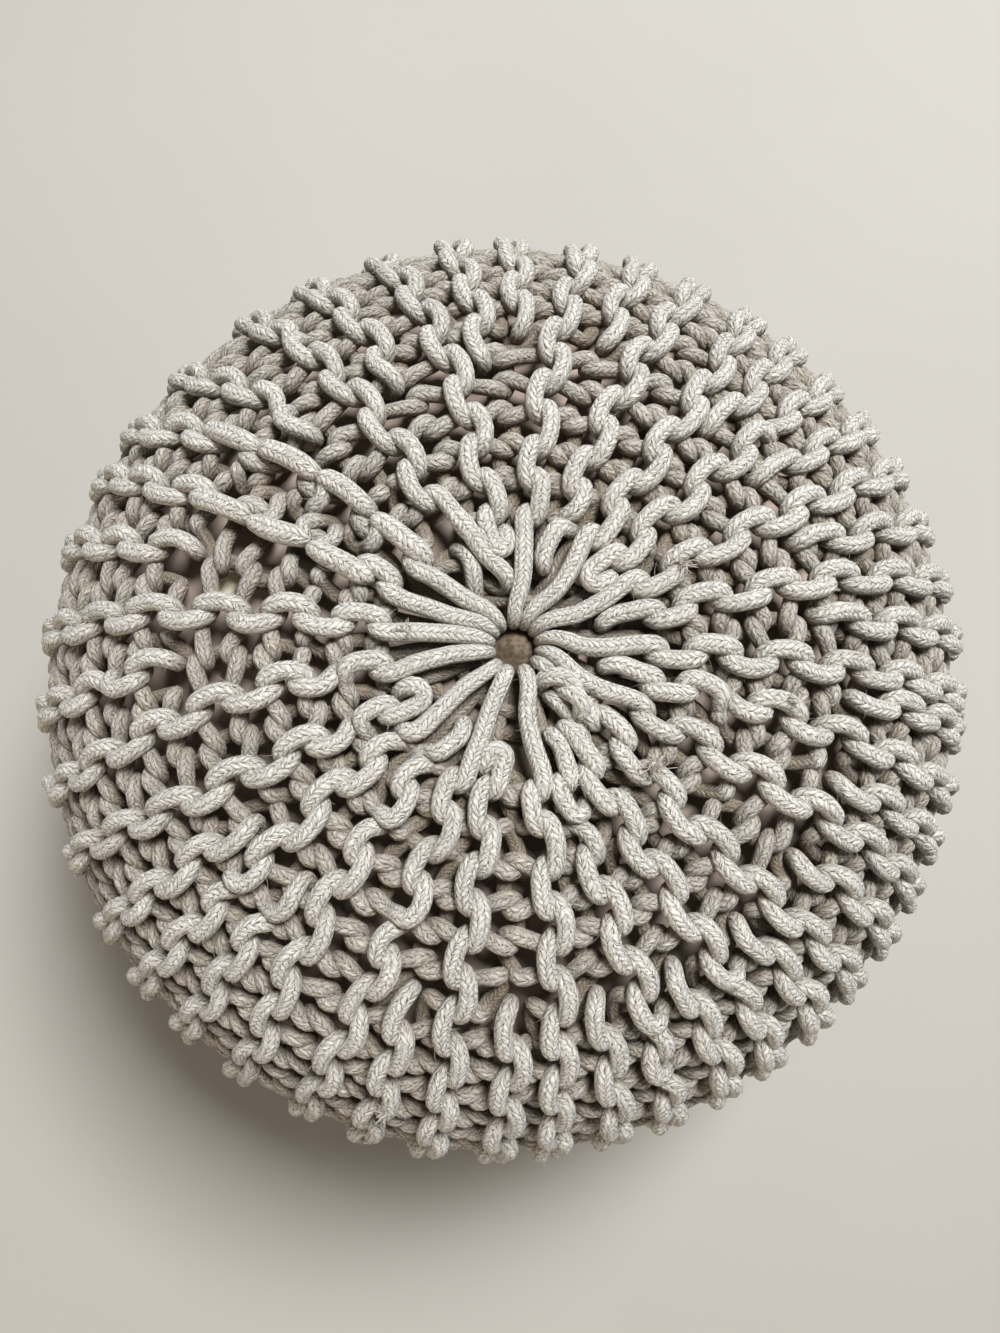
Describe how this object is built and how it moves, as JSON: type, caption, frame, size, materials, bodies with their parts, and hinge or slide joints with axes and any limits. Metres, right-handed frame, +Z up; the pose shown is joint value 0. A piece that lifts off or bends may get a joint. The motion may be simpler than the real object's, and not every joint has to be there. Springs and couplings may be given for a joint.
{
  "type": "knitted floor pouf",
  "caption": "Round plump floor pouf in thick braided cord, knitted in radial ridges that draw in to a small open eye.",
  "frame": {"origin": "centre of the bounding box's base, on the floor under the middle of the pouf", "axes": "+Z up through the pouf, from the underside to the eye in the top; the camera of the picture stands a little to the -Y side, with +X to its right"},
  "size_m": [0.4987, 0.5, 0.3344],
  "materials": {
    "oatmeal_cotton_cord": "matt",
    "beige_casing_cloth": "matt"
  },
  "bodies": {
    "root": {"knit_cover": "oatmeal_cotton_cord", "filled_casing": "beige_casing_cloth"}
  },
  "joints": []
}
